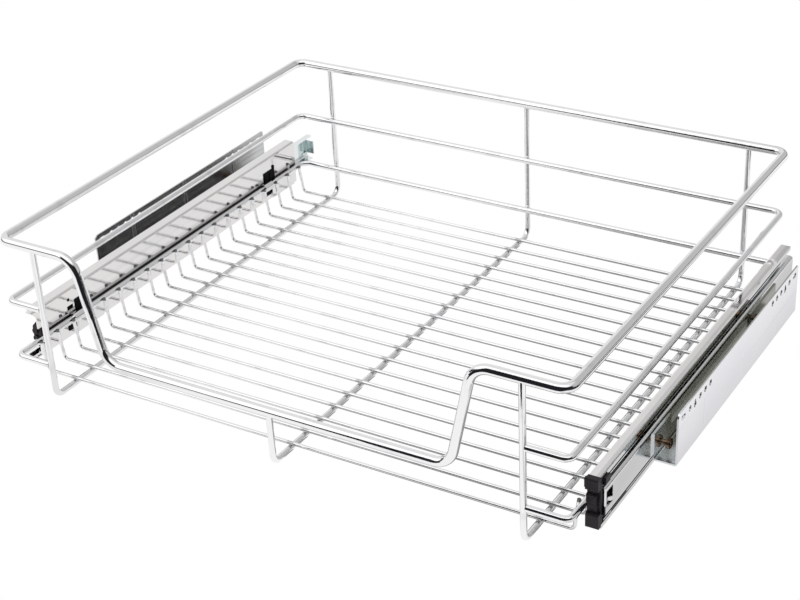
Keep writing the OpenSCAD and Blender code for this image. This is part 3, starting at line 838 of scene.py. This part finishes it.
class Workshop:
    """Turns corner points into finished meshes with Geometry Nodes."""

    def __init__(self, sides: int = 28, arc_steps: int = 12, bead_sides: int = 12) -> None:
        """Builds the two trees.

        Args:
            sides: faces round a wire.
            arc_steps: rings in each bend.
            bead_sides: faces round a weld bead.
        """
        self.sides = sides
        self.arc_steps = arc_steps
        self.bead_sides = bead_sides
        self.sweep = self._sweep_tree()
        self.beads = self._bead_tree()

    def _sweep_tree(self) -> bpy.types.NodeTree:
        """Rounds the corners of a line and sweeps a circle along it.

        Returns:
            The tree.
        """
        made = NodeTree("swept_wire")
        made.size("Radius")
        made.size("Sides", "NodeSocketInt")
        made.size("Steps", "NodeSocketInt")
        made.size("Finish", "NodeSocketMaterial")
        line = made.add("GeometryNodeMeshToCurve", None, {0: made.start.outputs["Geometry"]})
        bend = made.add("GeometryNodeInputNamedAttribute", {"data_type": "FLOAT"}, {"Name": "bend"})
        fillet = made.add("GeometryNodeFilletCurve", {"mode": "POLY"},
                          {"Curve": line.outputs[0], "Count": made.start.outputs["Steps"],
                           "Radius": bend.outputs[0]})
        ring = made.add("GeometryNodeCurvePrimitiveCircle", None,
                        {"Resolution": made.start.outputs["Sides"],
                         "Radius": made.start.outputs["Radius"]})
        tube = made.add("GeometryNodeCurveToMesh", None,
                        {"Curve": fillet.outputs[0], "Profile Curve": ring.outputs[0],
                         "Fill Caps": True})
        smooth = made.add("GeometryNodeSetShadeSmooth", None, {"Geometry": tube.outputs[0]})
        return made.finish(smooth.outputs[0])

    def _bead_tree(self) -> bpy.types.NodeTree:
        """Sets a small bead on each point, stretched as the point's attribute says.

        Returns:
            The tree.
        """
        made = NodeTree("weld_beads")
        made.size("Sides", "NodeSocketInt")
        made.size("Finish", "NodeSocketMaterial")
        ball = made.add("GeometryNodeMeshUVSphere", None,
                        {"Segments": made.start.outputs["Sides"], "Rings": 8, "Radius": 1.0})
        size = made.add("GeometryNodeInputNamedAttribute", {"data_type": "FLOAT_VECTOR"},
                        {"Name": "size"})
        put = made.add("GeometryNodeInstanceOnPoints", None,
                       {"Points": made.start.outputs["Geometry"], "Instance": ball.outputs[0],
                        "Scale": size.outputs[0]})
        real = made.add("GeometryNodeRealizeInstances", None, {0: put.outputs[0]})
        smooth = made.add("GeometryNodeSetShadeSmooth", None, {"Geometry": real.outputs[0]})
        return made.finish(smooth.outputs[0])

    def bend_wires(self, name: str, wires: list[BentWire],
                   finish: bpy.types.Material) -> bpy.types.Object:
        """Makes one piece of one or more wires of the same diameter.

        Args:
            name: the piece's name.
            wires: what to sweep.
            finish: its material.

        Returns:
            A plain mesh object at the origin.
        """
        points, edges, bends = [], [], []
        for wire in wires:
            first, count = len(points), len(wire.points)
            points += wire.points
            bends += wire.bends
            edges += [(first + i, first + i + 1) for i in range(count - 1)]
            if wire.closed:
                edges.append((first + count - 1, first))
        mesh = bpy.data.meshes.new(name + "_line")
        mesh.from_pydata(points, edges, [])
        mesh.attributes.new("bend", "FLOAT", "POINT").data.foreach_set("value", bends)
        sizes = {"Radius": wires[0].wire / 2, "Sides": self.sides, "Steps": self.arc_steps}
        return self._run(name, mesh, self.sweep, sizes, finish)

    def weld(self, name: str, beads: list[Bead], finish: bpy.types.Material) -> bpy.types.Object:
        """Makes one piece of weld beads.

        Args:
            name: the piece's name.
            beads: places and half sizes.
            finish: its material.

        Returns:
            A plain mesh object at the origin.
        """
        mesh = bpy.data.meshes.new(name + "_spots")
        mesh.from_pydata([spot for spot, _ in beads], [], [])
        flat = [v for _, half in beads for v in half]
        mesh.attributes.new("size", "FLOAT_VECTOR", "POINT").data.foreach_set("vector", flat)
        return self._run(name, mesh, self.beads, {"Sides": self.bead_sides}, finish)

    @staticmethod
    def _run(name: str, mesh: bpy.types.Mesh, tree: bpy.types.NodeTree, sizes: dict,
             finish: bpy.types.Material) -> bpy.types.Object:
        """Evaluates a tree on a mesh and keeps the result as a plain mesh.

        Args:
            name: the piece's name.
            mesh: the lines or points that the tree starts from.
            tree: what to run on them.
            sizes: the tree's inputs by name.
            finish: the piece's material.

        Returns:
            A plain mesh object at the origin.
        """
        rough = bpy.data.objects.new(name + "_rough", mesh)
        bpy.context.scene.collection.objects.link(rough)
        step = rough.modifiers.new("build", "NODES")
        step.node_group = tree
        inputs = {i.name: i.identifier for i in tree.interface.items_tree if i.in_out == "INPUT"}
        for label, value in {**sizes, "Finish": finish}.items():
            step[inputs[label]] = value
        bpy.context.view_layer.update()
        seen = rough.evaluated_get(bpy.context.evaluated_depsgraph_get())
        plain = bpy.data.meshes.new_from_object(seen)
        plain.name = name
        bpy.data.objects.remove(rough)
        for extra in ("bend", "size"):
            if extra in plain.attributes:
                plain.attributes.remove(plain.attributes[extra])
        piece = bpy.data.objects.new(name, plain)
        bpy.context.scene.collection.objects.link(piece)
        LOG.info("%s: %d faces", name, len(plain.polygons))
        return piece


@dataclass
class WireBasket:
    """The welded basket: its wires, drawn smooth, and the welds that hold them.

    Attributes:
        shop: makes the meshes.
        book: finishes by name.
        rim_wire: wire of the top rim.
        rail_wire: wire of the two rails.
        runner_wire: wire of the runners.
        floor_wire: wire of the floor.
        rim_bend: bends of the rim's four corners.
        drop_bend: bends of the dropped front.
        front_side: high part of the front rim, each side.
        front_lean: sideways lean of the slopes.
        runner_bend_front: lower front bends of the runners.
        runner_bend_back: lower back bends of the runners.
        rail_bend_front: bends of a rail beside the outer front legs.
        rail_bend_back: bends of a rail at the back.
        floor_bend: bends of the floor wires.
        floor_lean: outward lean of their turned-up ends, in degrees.
        tip: how far a leg's end stays below the middle of the wire that it is welded to.
        butt: how far a rail's end reaches past the leg's middle, as a share of the leg's wire.
        bead_drop: how far a leg bead lies below the rim's middle, as a share of the rim's wire.
        bead_inset: how far it lies inside the leg's middle.
        cross_bead: half sizes of a weld between floor wire and runner.
        end_bead: the same between a floor wire's end and the low rail.
        rail_bead: the same between a rail's end and a front leg.
        leg_bead: the same between a leg's end and the rim.
        back_bead: the same between a back leg and a rail.
    """

    shop: Workshop
    book: FinishBook
    rim_wire: float = 8 * MM
    rail_wire: float = 5.6 * MM
    runner_wire: float = 5.2 * MM
    floor_wire: float = 3 * MM
    rim_bend: float = 10 * MM
    drop_bend: float = 18 * MM
    front_side: float = 74.5 * MM
    front_lean: float = 20.6 * MM
    runner_bend_front: float = 7 * MM
    runner_bend_back: float = 10.6 * MM
    rail_bend_front: float = 6.5 * MM
    rail_bend_back: float = 9 * MM
    floor_bend: float = 4.2 * MM
    floor_lean: float = 8.0
    tip: float = 1.5 * MM
    butt: float = 0.42
    bead_drop: float = 0.46
    bead_inset: float = 0.6 * MM
    cross_bead: Point = (1.5 * MM, 1.9 * MM, 0.75 * MM)
    end_bead: Point = (0.8 * MM, 1.7 * MM, 2.0 * MM)
    rail_bead: Point = (1.0 * MM, 2.6 * MM, 2.9 * MM)
    leg_bead: Point = (2.9 * MM, 2.6 * MM, 0.9 * MM)
    back_bead: Point = (2.1 * MM, 0.7 * MM, 2.1 * MM)

    def __post_init__(self) -> None:
        """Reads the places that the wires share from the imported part."""
        low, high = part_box("right_runner")
        self.front, self.back = low.y, high.y
        self.runner_x = (low.x + high.x) / 2
        rail_low, rail_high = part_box("mid_rail")
        self.flush_x = rail_high.x
        self.mid_z = (rail_low.z + rail_high.z) / 2
        self.rail_back = rail_high.y - self.rail_wire / 2
        rim_low, rim_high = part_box("top_rim")
        self.rim_z = rim_high.z - self.rim_wire / 2
        self.drop_z = rim_low.z + self.rim_wire / 2
        rail_low, rail_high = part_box("low_rail")
        self.low_z = (rail_low.z + rail_high.z) / 2

    def rim(self) -> BentWire:
        """The closed top rim with its dropped front.

        Returns:
            Its line and bends.
        """
        x = self.flush_x - self.rim_wire / 2
        ya, yb = self.front + self.rim_wire / 2, self.back - self.rim_wire / 2
        drop = x - self.front_side
        low = drop - self.front_lean
        half = [(x, yb, self.rim_z), (x, ya, self.rim_z), (drop, ya, self.rim_z),
                (low, ya, self.drop_z)]
        bends = [self.rim_bend, self.rim_bend, self.drop_bend, self.drop_bend]
        other = [(-px, py, pz) for px, py, pz in reversed(half)]
        return BentWire(tuple(half + other), tuple(bends + bends[::-1]), self.rim_wire, True)

    def rail(self, z: float) -> BentWire:
        """A rail round both sides and the back, butted on the outer front legs.

        Args:
            z: its height.

        Returns:
            Its line and bends.
        """
        x = self.flush_x - self.rail_wire / 2
        ya, yb = self.front + self.rail_wire / 2, self.rail_back
        end = self.runner_x + self.runner_wire * self.butt
        half = [(end, ya, z), (x, ya, z), (x, yb, z)]
        other = [(-px, py, pz) for px, py, pz in reversed(half)]
        bends = (0, self.rail_bend_front, self.rail_bend_back)
        return BentWire(tuple(half + other), bends + bends[::-1], self.rail_wire)

    def runner(self, x: float, front_z: float) -> BentWire:
        """A U whose two legs end under the rim.

        Args:
            x: its place across the basket.
            front_z: height of the rim above its front leg.

        Returns:
            Its line and bends.
        """
        r = self.runner_wire / 2
        ya, yb = self.front + r, self.back - r
        points = ((x, ya, front_z - self.tip), (x, ya, r), (x, yb, r),
                  (x, yb, self.rim_z - self.tip))
        bends = (0, self.runner_bend_front, self.runner_bend_back, 0)
        return BentWire(points, bends, self.runner_wire)

    def floor(self, name: str) -> BentWire:
        """A floor wire with both ends turned up.

        Args:
            name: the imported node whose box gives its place.

        Returns:
            Its line and bends.
        """
        low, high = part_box(name)
        r = self.floor_wire / 2
        y, z = (low.y + high.y) / 2, low.z + r
        lean = math.radians(self.floor_lean)
        tip_x = high.x - r * math.cos(lean)
        tip_z = high.z - r * math.sin(lean)
        corner = tip_x - (tip_z - z) * math.tan(lean)
        points = ((-tip_x, y, tip_z), (-corner, y, z), (corner, y, z), (tip_x, y, tip_z))
        return BentWire(points, (0, self.floor_bend, self.floor_bend, 0), self.floor_wire)

    def floor_welds(self, floors: list[BentWire]) -> list[Bead]:
        """Beads where the floor wires cross the runners and end on the low rail.

        Args:
            floors: the floor wires.

        Returns:
            Places with half sizes.
        """
        beads = []
        for wire in floors:
            y = wire.points[0][1]
            for x in (-self.runner_x, 0.0, self.runner_x):
                beads.append(((x, y, self.runner_wire + 0.1 * MM), self.cross_bead))
            for side in (-1, 1):
                x = side * (wire.points[3][0] - 0.1 * MM + self.floor_wire * 0.4)
                beads.append(((x, y, self.low_z + 0.2 * MM), self.end_bead))
        return beads

    def leg_welds(self) -> list[Bead]:
        """Beads where the runners' legs meet the rails and the rim.

        Returns:
            Places with half sizes.
        """
        beads = []
        front = self.front + self.runner_wire / 2
        back = self.back - self.runner_wire / 2
        drop = self.rim_wire * self.bead_drop
        for side in (-1, 1):
            x = side * self.runner_x
            for z in (self.low_z, self.mid_z):
                beads.append(((x + side * self.runner_wire / 2, front, z), self.rail_bead))
            beads.append(((x, front + self.bead_inset, self.rim_z - drop), self.leg_bead))
            for z in (self.low_z, self.mid_z):
                beads.append(((x, self.back - self.runner_wire, z), self.back_bead))
        beads.append(((0.0, front + self.bead_inset, self.drop_z - drop), self.leg_bead))
        for x in (-self.runner_x, 0.0, self.runner_x):
            beads.append(((x, back - self.bead_inset, self.rim_z - drop), self.leg_bead))
        return beads

    def add(self, piece: bpy.types.Object, slot: str, *nodes: str) -> None:
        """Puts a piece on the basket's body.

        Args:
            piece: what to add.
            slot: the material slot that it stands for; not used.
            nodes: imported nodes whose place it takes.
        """
        if nodes:
            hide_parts(*nodes)
        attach(piece, "basket")

    def build(self) -> None:
        """Makes every wire and weld."""
        wire = self.book.get(Finish.WIRE)
        for name, node, line in (("top_rim_wire", "top_rim", self.rim()),
                                 ("middle_rail_wire", "mid_rail", self.rail(self.mid_z)),
                                 ("low_rail_wire", "low_rail", self.rail(self.low_z))):
            self.add(self.shop.bend_wires(name, [line], wire), "chrome_wire", node)
        for node, x, z in (("left_runner", -self.runner_x, self.rim_z),
                           ("centre_runner", 0.0, self.drop_z),
                           ("right_runner", self.runner_x, self.rim_z)):
            piece = self.shop.bend_wires(node + "_wire", [self.runner(x, z)], wire)
            self.add(piece, "chrome_wire", node)
        plated = self.book.get(Finish.FLOOR)
        floors = [self.floor(name) for name in FLOOR_WIRES]
        self.add(self.shop.bend_wires("floor_wires", floors, plated), "chrome_wire", *FLOOR_WIRES)
        beads = self.floor_welds(floors) + self.leg_welds()
        self.add(self.shop.weld("weld_beads", beads, plated), "chrome_wire")


# ---- studio ----


@dataclass(frozen=True)
class Viewpoint:
    """Where the camera stands and how it looks, in the part's frame.

    Attributes:
        spot: position in metres.
        right: the picture's rightward direction.
        down: the picture's downward direction.
        image_px: size of the image that the next two are measured on.
        focal_px: focal length in its pixels.
        centre_px: where the optical axis meets it.
        sensor_mm: width of the sensor.
        clip: nearest and farthest distance that is seen, in metres.
    """

    spot: Point = (0.673264, -1.093482, 0.749062)
    right: Point = (0.87559, 0.48236, -0.02582)
    down: Point = (0.21967, -0.44522, -0.86806)
    image_px: Span = (800.0, 600.0)
    focal_px: float = 1691.2204
    centre_px: Span = (469.4741, 315.9957)
    sensor_mm: float = 36.0
    clip: Span = (0.05, 60.0)

    def build(self) -> None:
        """Makes the camera and sets it as the scene's."""
        width, height = self.image_px
        data = bpy.data.cameras.new("studio_camera")
        data.sensor_width = self.sensor_mm
        data.lens = self.focal_px * self.sensor_mm / width
        data.shift_x = (width / 2 - self.centre_px[0]) / width
        data.shift_y = (self.centre_px[1] - height / 2) / width
        data.clip_start, data.clip_end = self.clip
        camera = bpy.data.objects.new("studio_camera", data)
        bpy.context.scene.collection.objects.link(camera)
        x = Vector(self.right).normalized()
        y = -Vector(self.down).normalized()
        z = x.cross(y).normalized()
        y = z.cross(x)
        turn = Matrix((x, y, z)).transposed().to_4x4()
        camera.matrix_world = Matrix.Translation(self.spot) @ turn
        bpy.context.scene.camera = camera


@dataclass(frozen=True)
class Floor:
    """White floor: plain to the camera, patterned with painted shadows where plating mirrors it.

    Attributes:
        half: half its side in metres.
        tone: its colour in the object's light, on which the faint shadow falls.
        mirror_tone: brightness that the plating mirrors from it beside the object.
        dark_tone: the same where it is darkest.
        reach: how far in front of the middle its pale part ends.
        reach_edge: width of that end.
        slant: how far left the dark part's side moves for each metre further forward.
        dark_left: places of that side, where the dark sets in and is full.
        dark_right: places to the right of the object where the dark sets in and is full.
        dark_back: places behind it where that dark ends and is still full.
        stripe_half: half width of the painted shadow stripe below each floor wire, with its soft
            edge
        and without.
        stripe_ahead: how far in front of its wire a stripe lies.
        stripe_x: places where the stripes set in and are full.
        stripe_end_x: distances from the middle at which they end and are still full.
        stripe_end_y: the same from front to back.
        stripe_depth: how dark they are.
        spread: how much their half width grows towards the right.
        spread_x: places where that growth starts and is full.
        right_shade: places of the shade below the right slide.
        right_depth: how dark it is.
        left_shade: the same for the left slide.
        left_depth: the same.
    """

    half: float = 6.0
    tone: float = 0.86
    mirror_tone: float = 0.95
    dark_tone: float = 0.03
    reach: float = 0.62
    reach_edge: float = 0.06
    slant: float = 0.478
    dark_left: Span = (-0.38, -0.10)
    dark_right: Span = (0.44, 0.54)
    dark_back: Span = (0.72, 0.60)
    stripe_half: Span = (7.0 * MM, 5.2 * MM)
    stripe_ahead: float = 3.5 * MM
    stripe_x: Span = (-0.155, 0.04)
    stripe_end_x: Span = (0.262, 0.235)
    stripe_end_y: Span = (0.225, 0.205)
    stripe_depth: float = 0.74
    spread: float = 3.5 * MM
    spread_x: Span = (0.0, 0.12)
    right_shade: Band = (0.255, 0.270, 0.290, 0.345)
    right_depth: float = 0.30
    left_shade: Band = (-0.27, -0.24, -0.17, -0.12)
    left_depth: float = 0.14

    def _far(self, x: Sock, y: Sock) -> Sock:
        """Where the floor is dark: beyond its front end, and away to the right.

        Args:
            x: place across the floor.
            y: place along it.

        Returns:
            1 where it is dark.
        """
        aslant = x - (y + self.reach) * self.slant
        front = y.step(-self.reach, -self.reach - self.reach_edge) * aslant.step(*self.dark_left)
        return front.most(x.step(*self.dark_right) * y.step(*self.dark_back))

    def _painted_wire_shadows(self, x: Sock, y: Sock) -> Sock:
        """Painted wire shadows: dark stripes that give each floor wire a crisp dark underside.

        Args:
            x: place across the floor.
            y: place along it.

        Returns:
            1 in the middle of a stripe, mostly below the basket's right half.
        """
        first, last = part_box(FLOOR_WIRES[0])[0].y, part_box(FLOOR_WIRES[-1])[0].y
        gap = (y - (first - self.stripe_ahead)).wrap((last - first) / (len(FLOOR_WIRES) - 1))
        stripe = (gap - x.step(*self.spread_x) * self.spread).step(*self.stripe_half)
        inside = abs(x).step(*self.stripe_end_x) * abs(y).step(*self.stripe_end_y)
        return stripe * x.step(*self.stripe_x) * inside

    def _mirrored(self, g: Graph) -> Sock:
        """What the plating mirrors from the floor.

        Args:
            g: the floor's material.

        Returns:
            The brightness at each place.
        """
        x, y, _ = g.split(g.place())
        right = x.band(*self.right_shade) * self.right_depth
        left = x.band(*self.left_shade) * self.left_depth
        tone = (1 - self._far(x, y)) * (1 - (right + left)) * self.mirror_tone
        # The painted wire shadows darken what the plating mirrors.
        return (1 - self._painted_wire_shadows(x, y) * self.stripe_depth) * tone + self.dark_tone

    def build(self) -> None:
        """Makes the floor."""
        h = self.half
        mesh = stage_card("studio_floor", [(-h, -h, 0), (h, -h, 0), (h, h, 0), (-h, h, 0)])
        made, g = new_material("floor_white")
        base = g.node("ShaderNodeBsdfDiffuse", None, {"Color": (self.tone,) * 3 + (1,)})
        seen = g.choose(g.ray("Is Glossy Ray"), base, g.glow(self._mirrored(g)))
        g.end(g.choose(g.ray("Is Camera Ray"), seen, g.glow(WHITE)))
        mesh.materials.append(made)


@dataclass(frozen=True)
class Flag:
    """Black card in front of the basket's right side, which only the plating mirrors.

    Attributes:
        y: where it stands, in metres.
        outline: its corners, as X and Z.
        colour: its colour.
        near: distances between which it comes into a mirror's sight, so that it doesn't
            patch the basket where this is pulled out towards it.
    """

    y: float = -0.41
    outline: tuple[Span, ...] = (
        (-0.17, 0.05), (-0.03, 0.045), (0.0, 0.0), (0.50, 0.0), (0.50, 0.38), (0.05, 0.38),
        (0.0, 0.22), (-0.06, 0.13), (-0.17, 0.11))
    colour: tuple = (0.015, 0.015, 0.018, 1)
    near: Span = (0.15, 0.18)

    def build(self) -> None:
        """Makes the card."""
        mesh = stage_card("studio_flag", [(x, self.y, z) for x, z in self.outline])
        made, g = new_material("flag_black")
        clear = g.node("ShaderNodeBsdfTransparent", None, {"Color": WHITE})
        seen = g.ray("Is Glossy Ray") * g.ray("Ray Length").step(*self.near)
        g.end(g.choose(seen, clear, g.glow(self.colour)))
        mesh.materials.append(made)


@dataclass(frozen=True)
class Surround:
    """The room: white to the camera, bright panels and darker gaps for everything else.

    A direction is given by how far it points right, back and up, each from -1 to 1.

    Attributes:
        back_tone: brightness of the panel behind the object.
        back_up: how far up that panel sets in and is full.
        back_left: how far left it reaches down to the ground.
        veil_x: how far right the veil before it sets in and is full.
        veil_up: how far up it stands.
        veil_depth: how much it darkens the panel.
        front_tone: brightness of the panel in front of the object.
        front_up: how far up that panel sets in and is full.
        front_lift: how much higher it sets in towards the right.
        lift_x: how far right that lift begins and is full.
        gap_tone: brightness of the gaps.
        turn: how far back one panel gives way to the other.
    """

    back_tone: float = 0.80
    back_up: Span = (-0.02, 0.34)
    back_left: Span = (-0.24, -0.36)
    veil_x: Span = (-0.36, -0.24)
    veil_up: Band = (0.20, 0.34, 0.70, 0.86)
    veil_depth: float = 0.36
    front_tone: float = 1.22
    front_up: Span = (0.12, 0.36)
    front_lift: float = 0.44
    lift_x: Span = (-0.44, -0.29)
    gap_tone: float = 0.02
    turn: Span = (0.12, -0.12)

    def _panels(self, x: Sock, y: Sock, up: Sock) -> Sock:
        """The room's brightness by direction.

        Args:
            x: how far the direction points right.
            y: how far it points back.
            up: how far it points up.

        Returns:
            The brightness.
        """
        veil = x.step(*self.veil_x) * up.band(*self.veil_up)
        back = up.step(*self.back_up) * (1 - veil * self.veil_depth)
        back = back.most(x.step(*self.back_left)) * self.back_tone
        lifted = up - x.step(*self.lift_x) * self.front_lift
        front = lifted.step(*self.front_up) * self.front_tone
        ahead = y.step(*self.turn)
        return back * (1 - ahead) + front * ahead + self.gap_tone

    def build(self) -> None:
        """Makes the world."""
        world = bpy.data.worlds.new("studio_surround")
        bpy.context.scene.world = world
        world.use_nodes = True
        g = Graph(world.node_tree)
        way = g.node("ShaderNodeTexCoord", out="Generated")
        tone = self._panels(*g.split(way))
        room = g.node("ShaderNodeBackground", None, {"Color": tone, "Strength": 1.0})
        white = g.node("ShaderNodeBackground", None, {"Color": WHITE, "Strength": 1.0})
        both = g.choose(g.ray("Is Camera Ray"), room, white)
        g.node("ShaderNodeOutputWorld", None, {"Surface": both})


def stage_card(name: str, corners: list[Point]) -> bpy.types.Mesh:
    """Makes a flat card that belongs to the studio.

    Args:
        name: its name.
        corners: its corners in order.

    Returns:
        Its mesh, ready for a material.
    """
    mesh = bpy.data.meshes.new(name)
    mesh.from_pydata(corners, [], [tuple(range(len(corners)))])
    card = bpy.data.objects.new(name, mesh)
    bpy.context.scene.collection.objects.link(card)
    return mesh


# ---- main ----


def main() -> None:
    """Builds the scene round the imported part."""
    logging.basicConfig(level=logging.INFO, format="%(name)s: %(message)s")
    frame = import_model()
    bpy.context.scene.view_settings.view_transform = "Standard"
    Viewpoint().build()
    Floor().build()
    Flag().build()
    Surround().build()
    book = FinishBook(frame["nodes"])
    book.dress()
    WireBasket(Workshop(), book).build()


if __name__ == "__main__":
    main()
